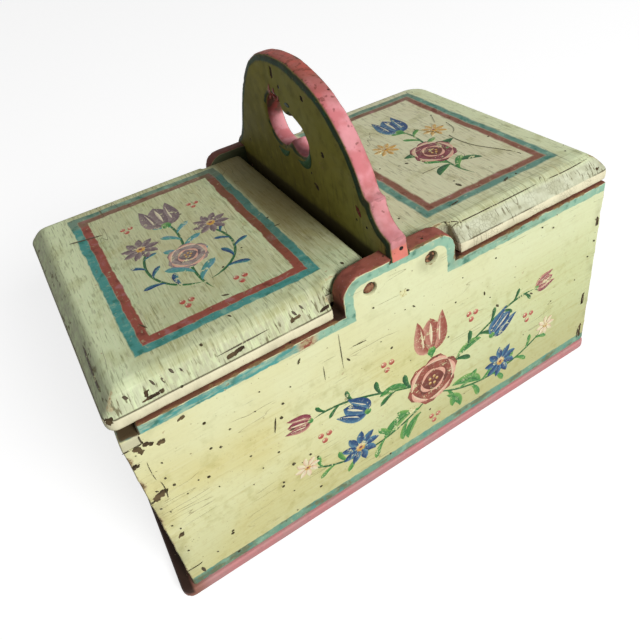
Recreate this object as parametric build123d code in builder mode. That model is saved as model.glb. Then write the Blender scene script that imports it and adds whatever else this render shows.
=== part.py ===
"""Wooden sewing carrier: a finger-jointed box with a partition that rises into the handle,
and two bevelled lids that swing up on dowel pins beside it.

Millimetres. X runs along the length, Y from the front to the back, Z up.
The origin is under the middle of the box, on the underside of the base board.
"""

import os
from math import atan2, degrees, sqrt

from build123d import *

# ---- box -------------------------------------------------------------------
box_length = 300.0            # over the end boards
box_width = 184.0             # over the front and back boards
wall_height = 129.0           # from the base board to the lids' seat
side_thickness = 11.0         # front and back boards
end_thickness = 9.0           # left and right boards
base_thickness = 7.0
base_left_overhang = 7.0      # the base board was nailed on off centre
base_right_overhang = 1.5
base_side_overhang = 2.0      # at the front and at the back
base_corner_radius = 6.0
base_edge_radius = 1.8

# ---- finger joints ---------------------------------------------------------
finger_rows = 5               # equal fingers between the top and the bottom ones
top_finger = 11.0             # height of the end boards' top finger
bottom_finger = 15.5          # height of their bottom finger
broken_finger = 5.0           # height lost from one of the top fingers

# ---- raised middle of the front and back boards ----------------------------
hump_width = 69.6
hump_rise = 20.5              # above the lids' seat
hump_corner_radius = 12.0
hump_foot_radius = 2.0

# ---- handle board, which is also the partition -----------------------------
handle_thickness = 11.2
housing_depth = 3.0           # grooves in the side boards that hold the partition
ear_sink = 2.5                # how far the ears sit down in the humps
ear_height = 12.5             # square end of the front ear
cove_radius = 14.5
ledge_rise = 1.0              # upright above the cove, to the ledge
arch_radius = 77.5
arch_rise = 53.5              # from the ledge to the top of the arch
arch_offset = 1.0             # the arch was cut a little behind the middle

# The back of the handle is one worn sweep, from the top of the arch to the back ear.
# Reaches are behind the arch's middle, drops are under its top.
shoulder_reach = 39.0
shoulder_drop = 8.2
flank_reach = 59.0
flank_drop = 28.6
waist_reach = 75.0
waist_drop = 56.6
back_ear_height = 5.4

# ---- hand hole -------------------------------------------------------------
back_lobe_radius = 14.5
front_lobe_radius = 12.5
lobe_spacing = 22.0           # between the centres of the two lobes
hand_hole_drop = 38.7         # from the top of the arch to the back lobe's centre
front_lobe_drop = 1.8         # from there to the front lobe's centre
hand_hole_offset = 1.5        # behind the middle
drip_radius = 7.0             # round drip that hangs from the hole's upper edge
drip_rise = 12.7              # its centre above the back lobe's centre

# ---- lids ------------------------------------------------------------------
lid_thickness = 16.2
lid_gap = 0.3                 # under a closed lid
lid_overhang = 4.2            # past the end boards
lid_inset = 1.25              # back from the faces of the side boards
lid_corner_radius = 6.0
bevel_width = 8.7
bevel_height = 10.0
bevel_top_radius = 7.0
bevel_foot_radius = 5.0
hump_gap = 4.5                # between a lid's wide part and the humps
tongue_gap = 1.5              # between a lid's narrow part and the side boards
tongue_reach = 8.0            # narrow part past the hinge axis
tongue_top_radius = 4.0
tongue_under_radius = 2.5

# ---- hinge pins ------------------------------------------------------------
pin_spacing = 37.6            # between the two hinge axes
pin_height = 9.0              # hinge axes above the lids' seat
pin_radius = 3.45
pin_play = 0.05               # radial, in the side boards
pin_recess = 1.5              # outer end under the board's face
pin_grip = 20.0               # length driven into the lid
pin_chamfer = 0.5

# ---- nails -----------------------------------------------------------------
nail_shank = 2.2              # square, under the head
nail_taper = 1.5              # degrees on each side of the shank
nail_head = 4.2
nail_head_thickness = 1.2
base_nail_length = 26.0
base_nails_per_side = 4
base_nail_pitch = 84.0        # along each side board
base_end_nail_spacing = 96.0  # across each end board
partition_nail_length = 28.0
partition_nail_drop = 4.0     # upper nails under the lids' seat
partition_nail_spacing = 92.0

# ---- worked out ------------------------------------------------------------
half_length = box_length / 2
half_width = box_width / 2
wall_top = base_thickness + wall_height
hump_top = wall_top + hump_rise
side_inner = half_width - side_thickness
end_inner = half_length - end_thickness

base_left = -half_length - base_left_overhang
base_right = half_length + base_right_overhang

ear_seat = hump_top - ear_sink
ear_top = ear_seat + ear_height
ledge_height = ear_top + cove_radius + ledge_rise
arch_top = ledge_height + arch_rise
arch_centre = arch_top - arch_radius
arch_foot_rise = ledge_height - arch_centre
arch_foot = sqrt(arch_radius**2 - arch_foot_rise**2)
hand_hole_height = arch_top - hand_hole_drop
partition_half = side_inner + housing_depth

lid_under = wall_top + lid_gap
bevel_start = lid_under + lid_thickness - bevel_height
lid_end = half_length + lid_overhang
lid_half = half_width - lid_inset
lid_shoulder = hump_width / 2 + hump_gap
tongue_half = side_inner - tongue_gap
pin_x = pin_spacing / 2
pin_z = wall_top + pin_height
tongue_end = pin_x - tongue_reach
pin_outer = half_width - pin_recess
pin_inner = tongue_half - pin_grip

# Rows of the corner joints, (low, high). The side boards and the end boards take turns,
# and the end boards have the short fingers at the top and at the bottom.
finger_height = (wall_height - top_finger - bottom_finger) / finger_rows
joint_top = wall_top - top_finger
joint_bottom = base_thickness + bottom_finger
finger_tops = [joint_top - row * finger_height for row in range(finger_rows)]
side_board_rows = [(top - finger_height, top) for top in finger_tops[0::2]]
end_board_rows = [(top - finger_height, top) for top in finger_tops[1::2]]
end_board_rows += [(joint_top, wall_top), (base_thickness, joint_bottom)]


def cut_rows(rows, edge, depth):
    """Takes fingers of this depth out of both upright edges of the board being sketched."""
    for low, high in rows:
        middle = (low + high) / 2
        with Locations((edge - depth / 2, middle), (depth / 2 - edge, middle)):
            Rectangle(depth, high - low, mode=Mode.SUBTRACT)


def nail(length):
    """A square cut nail with its head at the origin and its point up."""
    with BuildPart() as made:
        with BuildSketch():
            Rectangle(nail_head, nail_head)
        extrude(amount=nail_head_thickness)
        with BuildSketch(Plane.XY.offset(nail_head_thickness)):
            Rectangle(nail_shank, nail_shank)
        extrude(amount=length - nail_head_thickness, taper=nail_taper)
    return made.part


# ---- nails, made first because the boards are cut round them ---------------
with BuildPart() as base_nails:
    with GridLocations(base_nail_pitch, box_width - side_thickness, base_nails_per_side, 2):
        add(nail(base_nail_length))
    with GridLocations(box_length - end_thickness, base_end_nail_spacing, 2, 2):
        add(nail(base_nail_length))

with BuildPart() as partition_nails:
    upper_nail = wall_top - partition_nail_drop
    for height in (upper_nail, upper_nail - partition_nail_spacing):
        for side in (1, -1):
            with Locations(Location((0, side * half_width, height), (side * 90, 0, 0))):
                add(nail(partition_nail_length))

# ---- base board ------------------------------------------------------------
with BuildPart() as base_board:
    with BuildSketch():
        with Locations(((base_left + base_right) / 2, 0)):
            RectangleRounded(
                base_right - base_left,
                box_width + 2 * base_side_overhang,
                base_corner_radius,
            )
    extrude(amount=base_thickness)
    base_levels = base_board.edges().group_by(Axis.Z)
    fillet(base_levels[0] + base_levels[-1], base_edge_radius)
    add(base_nails.part, mode=Mode.SUBTRACT)

# ---- front and back boards, from one blank ---------------------------------
with BuildPart() as side_blank:
    with BuildSketch(Plane.XZ.offset(half_width)):
        with BuildLine():
            Polyline(
                (0, base_thickness),
                (half_length, base_thickness),
                (half_length, wall_top),
                (hump_width / 2, wall_top),
                (hump_width / 2, hump_top),
                (0, hump_top),
            )
            mirror(about=Plane.YZ)
        make_face()
        cut_rows(end_board_rows, half_length, end_thickness)
    extrude(amount=-side_thickness)
    hump_edges = side_blank.edges().filter_by(Axis.Y).filter_by_position(
        Axis.X, -hump_width / 2, hump_width / 2
    )
    fillet(hump_edges.filter_by_position(Axis.Z, hump_top, hump_top), hump_corner_radius)
    fillet(hump_edges.filter_by_position(Axis.Z, wall_top, wall_top), hump_foot_radius)
    # Notch for the handle board's ear, through the board's whole thickness.
    with BuildSketch(Plane.XZ.offset(half_width)):
        with Locations((0, ear_seat)):
            Rectangle(handle_thickness, 2 * ear_sink, align=(Align.CENTER, Align.MIN))
    extrude(amount=-side_thickness, mode=Mode.SUBTRACT)
    # Groove for the partition, in the inner face.
    with BuildSketch(Plane.XZ.offset(side_inner)):
        with Locations((0, base_thickness)):
            Rectangle(
                handle_thickness,
                ear_seat - base_thickness,
                align=(Align.CENTER, Align.MIN),
            )
    extrude(amount=housing_depth, mode=Mode.SUBTRACT)
    # Bores for the hinge pins.
    with BuildSketch(Plane.XZ.offset(half_width)):
        with Locations((-pin_x, pin_z), (pin_x, pin_z)):
            Circle(pin_radius + pin_play)
    extrude(amount=-side_thickness, mode=Mode.SUBTRACT)

with BuildPart() as front_board:
    add(side_blank.part)
    add(base_nails.part, mode=Mode.SUBTRACT)
    add(partition_nails.part, mode=Mode.SUBTRACT)

with BuildPart() as back_board:
    mirror(side_blank.part, about=Plane.XZ)
    add(base_nails.part, mode=Mode.SUBTRACT)
    add(partition_nails.part, mode=Mode.SUBTRACT)

# ---- end boards ------------------------------------------------------------
with BuildPart() as right_end_board:
    with BuildSketch(Plane.YZ.offset(end_inner)):
        with Locations((0, base_thickness)):
            Rectangle(box_width, wall_height, align=(Align.CENTER, Align.MIN))
        cut_rows(side_board_rows, half_width, side_thickness)
    extrude(amount=end_thickness)
    add(base_nails.part, mode=Mode.SUBTRACT)

with BuildPart() as left_end_board:
    mirror(right_end_board.part, about=Plane.YZ)
    # The upper part of the front top finger has broken off.
    with BuildSketch(Plane.XZ.offset(half_width)):
        with Locations((-half_length, wall_top - broken_finger)):
            Rectangle(end_thickness, broken_finger, align=Align.MIN)
    extrude(amount=-side_thickness, mode=Mode.SUBTRACT)

# ---- handle board ----------------------------------------------------------
with BuildPart() as handle_board:
    with BuildSketch(Plane.YZ):
        with BuildLine():
            # Front, from the foot of the partition up to the arch.
            Polyline(
                (0, base_thickness),
                (-partition_half, base_thickness),
                (-partition_half, ear_seat),
                (-half_width, ear_seat),
                (-half_width, ear_top),
            )
            CenterArc((-half_width, ear_top + cove_radius), cove_radius, -90, 90)
            Polyline(
                (cove_radius - half_width, ear_top + cove_radius),
                (cove_radius - half_width, ledge_height),
                (arch_offset - arch_foot, ledge_height),
            )
            foot_angle = degrees(atan2(arch_foot_rise, -arch_foot))
            CenterArc((arch_offset, arch_centre), arch_radius, foot_angle, 90 - foot_angle)
            # Back, from the top of the arch down to the foot.
            Spline(
                (arch_offset, arch_top),
                (arch_offset + shoulder_reach, arch_top - shoulder_drop),
                (arch_offset + flank_reach, arch_top - flank_drop),
                (arch_offset + waist_reach, arch_top - waist_drop),
                (half_width, ear_seat + back_ear_height),
                tangents=((1, 0), (1, -0.7)),
            )
            Polyline(
                (half_width, ear_seat + back_ear_height),
                (half_width, ear_seat),
                (partition_half, ear_seat),
                (partition_half, base_thickness),
                (0, base_thickness),
            )
        make_face()
        with BuildSketch(mode=Mode.PRIVATE) as hand_hole:
            with Locations((hand_hole_offset, hand_hole_height)):
                with Locations((lobe_spacing / 2, 0)):
                    Circle(back_lobe_radius)
                with Locations((-lobe_spacing / 2, -front_lobe_drop)):
                    Circle(front_lobe_radius)
                with Locations((0, drip_rise)):
                    Circle(drip_radius, mode=Mode.SUBTRACT)
        add(hand_hole.sketch, mode=Mode.SUBTRACT)
    extrude(amount=handle_thickness / 2, both=True)
    add(partition_nails.part, mode=Mode.SUBTRACT)

# ---- lids ------------------------------------------------------------------
with BuildPart() as right_lid:
    # A blank bevelled all round, that starts past the hinge so that the cut to the
    # outline leaves no bevel on the narrow end between the humps.
    blank_start = -2 * bevel_width
    with BuildSketch(Plane.XY.offset(lid_under)):
        with Locations(((blank_start + lid_end) / 2, 0)):
            RectangleRounded(lid_end - blank_start, 2 * lid_half, lid_corner_radius)
    extrude(amount=lid_thickness - bevel_height)
    bevel_angle = degrees(atan2(bevel_width, bevel_height))
    extrude(right_lid.faces().sort_by(Axis.Z)[-1], amount=bevel_height, taper=bevel_angle)
    fillet(right_lid.edges().group_by(Axis.Z)[-1], bevel_top_radius)
    bevel_foot = right_lid.edges().filter_by_position(Axis.Z, bevel_start, bevel_start)
    fillet(bevel_foot, bevel_foot_radius)
    # Outline: wide over the compartment, narrow between the humps.
    with BuildSketch(Plane.XY.offset(lid_under)):
        with Locations((lid_shoulder, 0)):
            Rectangle(lid_end - lid_shoulder, 2 * lid_half, align=(Align.MIN, Align.CENTER))
        with Locations((tongue_end, 0)):
            Rectangle(lid_end - tongue_end, 2 * tongue_half, align=(Align.MIN, Align.CENTER))
    extrude(amount=lid_thickness, mode=Mode.INTERSECT)
    tongue_edges = right_lid.edges().filter_by(Axis.Y).group_by(Axis.X)[0].sort_by(Axis.Z)
    fillet(tongue_edges[-1], tongue_top_radius)
    fillet(tongue_edges[0], tongue_under_radius)
    # Blind bores for the hinge pins.
    for side in (1, -1):
        with BuildSketch(Plane.XZ.offset(side * tongue_half)):
            with Locations((pin_x, pin_z)):
                Circle(pin_radius)
        extrude(amount=-side * pin_grip, mode=Mode.SUBTRACT)

with BuildPart() as left_lid:
    mirror(right_lid.part, about=Plane.YZ)


# ---- hinge pins ------------------------------------------------------------
def hinge_pin(x, side):
    """A dowel on a hinge axis at x, at the front for side 1 and at the back for side -1."""
    with BuildPart() as dowel:
        with BuildSketch(Plane.XZ.offset(side * pin_outer)):
            with Locations((x, pin_z)):
                Circle(pin_radius)
        extrude(amount=side * (pin_inner - pin_outer))
        chamfer(dowel.edges().filter_by(GeomType.CIRCLE), pin_chamfer)
    return dowel


# ---- export ----------------------------------------------------------------
pieces = {
    "base_board": base_board,
    "front_board": front_board,
    "back_board": back_board,
    "left_end_board": left_end_board,
    "right_end_board": right_end_board,
    "handle_board": handle_board,
    "left_lid": left_lid,
    "right_lid": right_lid,
    "left_front_hinge_pin": hinge_pin(-pin_x, 1),
    "left_back_hinge_pin": hinge_pin(-pin_x, -1),
    "right_front_hinge_pin": hinge_pin(pin_x, 1),
    "right_back_hinge_pin": hinge_pin(pin_x, -1),
    "base_nails": base_nails,
    "partition_nails": partition_nails,
}
os.makedirs("parts", exist_ok=True)
for name, piece in pieces.items():
    piece.part.label = name
    export_step(piece.part, f"parts/{name}.step")
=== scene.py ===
"""A folk-painted wooden sewing carrier with two lids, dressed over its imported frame.

Sizes are in millimetres, and MM turns them into Blender's metres. X runs along the length,
Y from the front to the back, Z up from the underside of the base board.
"""

from math import exp, pi, radians, sin

import bmesh
import bpy
from mathutils import Matrix, Vector, noise
from mathutils.bvhtree import BVHTree
from mathutils.geometry import intersect_point_line
from mathutils.kdtree import KDTree


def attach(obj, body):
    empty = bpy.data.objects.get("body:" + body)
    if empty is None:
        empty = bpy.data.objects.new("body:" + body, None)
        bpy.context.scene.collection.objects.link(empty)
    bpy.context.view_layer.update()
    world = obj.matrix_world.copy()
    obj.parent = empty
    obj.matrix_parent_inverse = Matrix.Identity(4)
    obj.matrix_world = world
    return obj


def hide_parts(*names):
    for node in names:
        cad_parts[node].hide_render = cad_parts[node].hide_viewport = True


MM = 0.001

# ---- places on the frame that the paint follows ----
HALF_LENGTH = 150
HALF_WIDTH = 92
WALL = 8
BASE_TOP = 7
WALL_TOP = 136
HUMP_TOP = 156.5
HUMP_HALF = 34.8
HUMP_CORNER = 12
LID_UNDER = 136.3
LID_TOP = 152.5
LID_CORNER = (154.2, 90.75)
BEVEL_START = 142.5
BEVEL_WIDTH = 8.7
HANDLE_FACE = 5
HOLE_MIDDLE = (1.5, 199)
HOLE_REACH = 30
PIN_X = 18.8
PIN_Z = 145
PIN_RADIUS = 3.45
BREAK = (-141, -81, 131)

# ---- painted stripes ----
EDGE_STRIPE = 5
FOOT_STRIPE = 6.2
STRIPE_GAP = (-61, -52)
BORDER_STRIPE = 5.1
BORDER_X = (33.2, 132)
BORDER_Y = (-70.8, 74.9)
BORDER_LEAN = 0.016
HANDLE_STRIPE = (0.6, 4.4)

# ---- wear of the wood ----
SHARP = radians(30)
TOUCHING = 0.2
STEP = 0.25
FINE_GRID = 1.15
COARSE_GRID = 1.6
FAR = 30.0
CLEAR = 4
SNAP = 0.75
HELD = 1.2
SINK = 0.1
SINK_SIZE = 34
DENT_SIZE = 10
DENT_SHARE = 0.15
CHIP_SLOPE = 1.6
CHIP_RAGGED = 0.7
CHIP_GRAIN = 1.8
CORNER_WEAR = 13
SKEW = 2.6
SKEW_FROM = -100
HOLE_PULLS = (((-15.5, 214), (2.3, -6.1), 13), ((-25.7, 200.1), (3.5, -1.3), 10))

# ---- strokes of the brush ----
LIFT = 0.05
NEXT_STROKE = 0.0006
BRUSH_START = 20
CROWN = 0.1
PAINT_THICKNESS = 0.15
AHEAD = 0.02
IN_DEGREES = 57.3

# ---- camera, light and floor ----
CAMERA_PLACE = (-129.59, -283.57, 332.08)
CAMERA_AZIMUTH = radians(-24.842)
CAMERA_ELEVATION = radians(34.790)
CAMERA_ROLL = radians(-9.878)
CAMERA_LENS = 33.336
CAMERA_SENSOR = 36
CAMERA_SHIFT = -0.125
LAMP_PLACE = (0.5, -2.2, 1.4)
LAMP_AIM = (0, 0, 0.1)
LAMP_SIZE = 1
LAMP_POWER = 67
ROOM_LIGHT = 0.12
FLOOR_SIZE = 6
FLOOR_DROP = 0.5
MATT = 0.2


def rgb(red, green, blue):
    """A colour given as it looks on a screen, 0 to 255, for a shader."""
    parts = [part / 255 for part in (red, green, blue)]
    linear = [p / 12.92 if p <= 0.04045 else ((p + 0.055) / 1.055) ** 2.4 for p in parts]
    return (*linear, 1.0)


# ---- paints ----
PALE = rgb(228, 227, 176)
STRAW = rgb(222, 214, 152)
LIME = rgb(204, 216, 168)
LICHEN = rgb(210, 222, 178)
FADED = rgb(228, 238, 198)
STONE = rgb(206, 205, 160)
SLATE = rgb(180, 180, 154)
MINT = rgb(232, 244, 198)
OLIVE = rgb(152, 146, 62)
MOSS = rgb(112, 112, 72)
OCHRE = rgb(182, 164, 98)
UMBER = rgb(120, 96, 58)
CHALK = rgb(232, 230, 196)
TEAL = rgb(80, 150, 142)
TIRED_TEAL = rgb(132, 146, 122)
SEA_GREEN = rgb(120, 160, 136)
MUD = rgb(106, 108, 78)
BLUE_TEAL = rgb(84, 160, 154)
DEEP_TEAL = rgb(44, 108, 92)
PALE_TEAL = rgb(150, 192, 166)
MILKY_TEAL = rgb(178, 202, 172)
BOTTLE = rgb(26, 50, 30)
RUST = rgb(152, 82, 68)
TIRED_RUST = rgb(128, 112, 90)
SHADE_AND_GRIME = rgb(70, 62, 24)
DARK_RUST = rgb(104, 52, 42)
BRICK = rgb(178, 84, 70)
OXBLOOD = rgb(126, 44, 42)
PINK = rgb(228, 154, 160)
DUSTY_PINK = rgb(188, 138, 136)
SALMON = rgb(226, 132, 118)
ROSE = rgb(208, 122, 126)
MAUVE = rgb(176, 122, 124)
BEIGE = rgb(238, 230, 196)
WHEY = rgb(236, 240, 200)
OLIVE_BROWN = rgb(102, 86, 40)
UNDERCOAT = rgb(190, 172, 132)
WOOD = rgb(118, 98, 68)
PALE_WOOD = rgb(152, 130, 92)
DARK_WOOD = rgb(54, 42, 28)
GRIME = rgb(92, 82, 48)
SHADOWED = rgb(90, 62, 42)
BLACK_BROWN = rgb(32, 22, 16)
HOLE = rgb(66, 56, 32)
IRON = rgb(62, 46, 38)
NAIL_RUST = rgb(104, 60, 38)
STAIN = rgb(134, 104, 66)
FINGER_END = rgb(194, 190, 164)
HUMP_RUST = rgb(162, 92, 78)
WEATHERED = rgb(206, 208, 184)
SEAM = rgb(70, 58, 36)
BRONZE = rgb(112, 104, 32)
DARK_OLIVE = rgb(88, 82, 26)
PALE_OLIVE = rgb(176, 168, 84)
FIR = rgb(36, 92, 62)
END_DIRT_AND_SHADE = rgb(40, 26, 18)
DOWEL = rgb(148, 108, 80)
DARK_DOWEL = rgb(112, 70, 52)
FLOOR_SHADE = rgb(120, 118, 114)
FLOOR_SEEN = rgb(166, 166, 166)
FLOOR_GLOW = rgb(230, 230, 230)
BLACK = rgb(0, 0, 0)


def maths(operation):
    """A method that applies one operation of the maths node to a value and others."""
    return lambda value, *others: value.apply(operation, *others)


class Value:
    """A socket in a graph of nodes, which sums and products can be written on."""

    def __init__(self, graph, socket):
        self.graph = graph
        self.socket = socket

    def apply(self, operation, *others):
        """The value of a maths node fed with this value and others."""
        inputs = dict(enumerate((self, *others)))
        return self.graph.node("ShaderNodeMath", {"operation": operation}, inputs)

    def __rsub__(self, other):
        return self.apply("MULTIPLY_ADD", -1.0, other)

    __add__ = __radd__ = maths("ADD")
    __sub__ = maths("SUBTRACT")
    __mul__ = __rmul__ = maths("MULTIPLY")
    __pow__ = maths("POWER")
    __abs__ = maths("ABSOLUTE")
    least = maths("MINIMUM")
    most = maths("MAXIMUM")

    def rise(self, low, high):
        """0 where the value is at low, 1 where it is at high, and smooth between."""
        inputs = {"Value": self, "From Min": low, "From Max": high}
        settings = {"interpolation_type": "SMOOTHSTEP"}
        return self.graph.node("ShaderNodeMapRange", settings, inputs)

    def put(self, share, colour):
        """Lays this share of another colour over the value's own."""
        self.socket = self.graph.mix(share, self, colour).socket

    def within(self, low, high, soft):
        """1 between low and high, with soft edges."""
        return self.rise(low - soft, low + soft) * self.rise(high + soft, high - soft)


class Graph:
    """A tree of nodes whose maths is written as expressions on its values."""

    def __init__(self, owner):
        owner.use_nodes = True
        self.tree = owner.node_tree

    def feed(self, socket, value):
        if isinstance(value, Value):
            self.tree.links.new(value.socket, socket)
        else:
            socket.default_value = value

    def node(self, kind, settings=None, inputs=None, output=0):
        """A node with its settings made and its sockets fed, as the value of one output."""
        made = self.tree.nodes.new(kind)
        for name, setting in (settings or {}).items():
            setattr(made, name, setting)
        for socket, value in (inputs or {}).items():
            self.feed(made.inputs[socket], value)
        return Value(self, made.outputs[output])

    def seen(self):
        """1 for a ray from the camera or from a glossy surface."""
        rays = self.node("ShaderNodeLightPath").socket.node.outputs
        return Value(self, rays["Is Camera Ray"]).most(Value(self, rays["Is Glossy Ray"]))


class Finish(Graph):
    """The graph of a material, whose places are in millimetres."""

    def __init__(self, name):
        self.material = bpy.data.materials.new(name)
        super().__init__(self.material)
        self.shade({"Specular IOR Level": MATT})
        place = self.node("ShaderNodeTexCoord", output="Object")
        self.point = self.node(
            "ShaderNodeVectorMath", {"operation": "SCALE"}, {"Vector": place, "Scale": 1 / MM}
        )
        split = self.node("ShaderNodeSeparateXYZ", {}, {"Vector": self.point})
        self.x, self.y, self.z = (Value(self, out) for out in split.socket.node.outputs)

    def shade(self, values):
        """Feeds the sockets of the shader, by their names."""
        for name, value in values.items():
            self.feed(self.tree.nodes["Principled BSDF"].inputs[name], value)

    def placed(self, size, stretch, seed):
        """The places, scaled so that one unit is a feature of this size."""
        scale = tuple(1 / (size * along) for along in stretch)
        inputs = {"Vector": self.point, "Location": (seed, -2 * seed, 3 * seed), "Scale": scale}
        return self.node("ShaderNodeMapping", {}, inputs)

    def noise(self, size, seed, detail=2.0, stretch=(1, 1, 1)):
        """Noise about 0.5 with features of this size, drawn out by stretch on each axis."""
        inputs = {"Vector": self.placed(size, stretch, seed), "Scale": 1.0, "Detail": detail}
        return self.node("ShaderNodeTexNoise", {}, inputs)

    def cells(self, size, seed, feature="F1", stretch=(1, 1, 1)):
        """How far away the nearest scattered point or, by another feature, cell edge is."""
        inputs = {"Vector": self.placed(size, stretch, seed), "Scale": 1.0}
        return self.node("ShaderNodeTexVoronoi", {"feature": feature}, inputs) * size

    def mix(self, share, first, second):
        """The first colour, with this share of the second over it."""
        settings = {"data_type": "RGBA", "clamp_factor": True}
        inputs = {0: share, 6: first, 7: second}
        return self.node("ShaderNodeMix", settings, inputs, output=2)

    def attribute(self, name, output="Fac"):
        return self.node("ShaderNodeAttribute", {"attribute_name": name}, output=output)

    def away(self, across, up, centre):
        """Distance in one plane from a centre."""
        return ((across - centre[0]) ** 2 + (up - centre[1]) ** 2) ** 0.5

    def close(self, colour, roughness, relief):
        """Joins the colour, the roughness and the relief in millimetres to the shader."""
        bump = self.node("ShaderNodeBump", {}, {"Distance": MM, "Height": relief})
        self.shade({"Base Color": colour, "Roughness": roughness, "Normal": bump})
        return self.material


# ---- layers that the finishes share ----
def bare_wood(f, grain):
    """Old softwood, grey-brown, with its grain along one axis."""
    figure = f.noise(1.8, 31, 4, grain)
    tone = f.noise(22, 32, 3, grain)
    wood = f.mix(tone.rise(0.35, 0.65), WOOD, PALE_WOOD)
    return f.mix(figure.rise(0.48, 0.74) * 0.55, wood, DARK_WOOD)


def ground_coat(f, brush, pale, yellowed, cool, marked):
    """The pale green ground, laid on with faint brush marks and yellowed with age."""
    coat = f.mix(f.noise(52, 1, 3).rise(0.36, 0.64), pale, yellowed)
    coat.put(cool, LIME)
    marks = f.noise(1.3, 2, 4, brush)
    coat.put(marks.rise(0.52, 0.76) * marked, OCHRE)
    coat.put(marks.rise(0.47, 0.26) * marked, CHALK)
    mottle = f.noise(2.6, 67, 3)
    coat.put(mottle.rise(0.5, 0.72) * 0.16, OCHRE)
    smudges = f.noise(8, 4, 5)
    coat.put(smudges.rise(0.54, 0.74) * 0.26, OLIVE)
    return f.mix(f.noise(1.1, 3, 3).rise(0.66, 0.76) * 0.35, coat, UMBER)


def striped(f, paint, mask, colour, dark, light):
    """A stripe of one paint over what is there, mottled, and thin in places."""
    tone = f.noise(5.5, 11, 5)
    colour = f.mix(tone.rise(0.52, 0.72) * 0.75, colour, dark)
    colour = f.mix(tone.rise(0.46, 0.3) * 0.6, colour, light)
    cover = f.noise(2.4, 12, 5).rise(0.74, 0.6)
    return f.mix(mask * (cover * 0.35 + 0.65), paint, colour)


def wavering(f, long, swing, short, shake):
    """How far a painted line strays: a slow swing and a quick shake of the brush."""
    return (f.noise(long, 5, 2) - 0.5) * swing + (f.noise(short, 51, 3) - 0.5) * shake


def roughness(f, level, lost):
    """A roughness that varies a little and is higher where the paint is lost."""
    return level + f.noise(8, 6, 3) * 0.2 + lost * 0.2


def worm_holes(f, size, spacing, seed):
    """1 in the round holes that beetles left, none wider than this size."""
    return (size - f.cells(spacing, seed)).rise(0, 0.35)


def pierced(f, surface, specks, holes):
    """The surface with faint specks and dark worm holes in it."""
    return f.mix(holes, f.mix(specks * 0.6, surface, UMBER), HOLE)


def hairlines(f, size, seed, width, stretch):
    """1 along fine wandering cracks."""
    return abs(f.noise(size, seed, 2, stretch) - 0.5).rise(width, 0)


def aged(f, paint, wood, reach, under):
    """Dirt, chips and worn arrises over a painted surface, with its relief."""
    arris, joint, chip = (f.attribute(name) for name in ("arris", "joint", "chip"))
    ragged = f.noise(9, 21, 5)
    fine = f.noise(1.6, 22, 4)
    edge = arris + (fine - 0.5) * 2.4
    dirt = f.noise(14, 23, 4).rise(0.4, 0.7) * arris.rise(9, 0.5)
    rubbed = ((ragged - 0.42) * reach - edge).rise(0, 0.7)
    bared = ((ragged - 0.52) * reach - edge).rise(0, 0.5)
    flaked = (ragged * 0.6 + fine * 0.4).rise(0.665, 0.68)
    knocked = (chip * (fine * 2.8 - 0.4)).rise(0.3, 0.38)
    crack = (joint + (fine - 0.5) * 0.5).rise(0.55, 0.15)
    crack = crack * f.noise(11, 24, 3).rise(0.42, 0.56)
    surface = f.mix(dirt * 0.3, paint, GRIME)
    surface.put(rubbed.most(flaked) * 0.75, under)
    lost = bared.most(knocked)
    surface.put(lost, wood)
    surface.put(knocked * (ragged.rise(0.36, 0.6) * 0.45 + 0.45), BLACK_BROWN)
    surface.put(crack * 0.75, DARK_WOOD)
    relief = (1 - rubbed.most(flaked)) * 0.05 + (1 - lost) * 0.14 - crack * 0.35
    return surface, relief, lost.most(crack)


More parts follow.
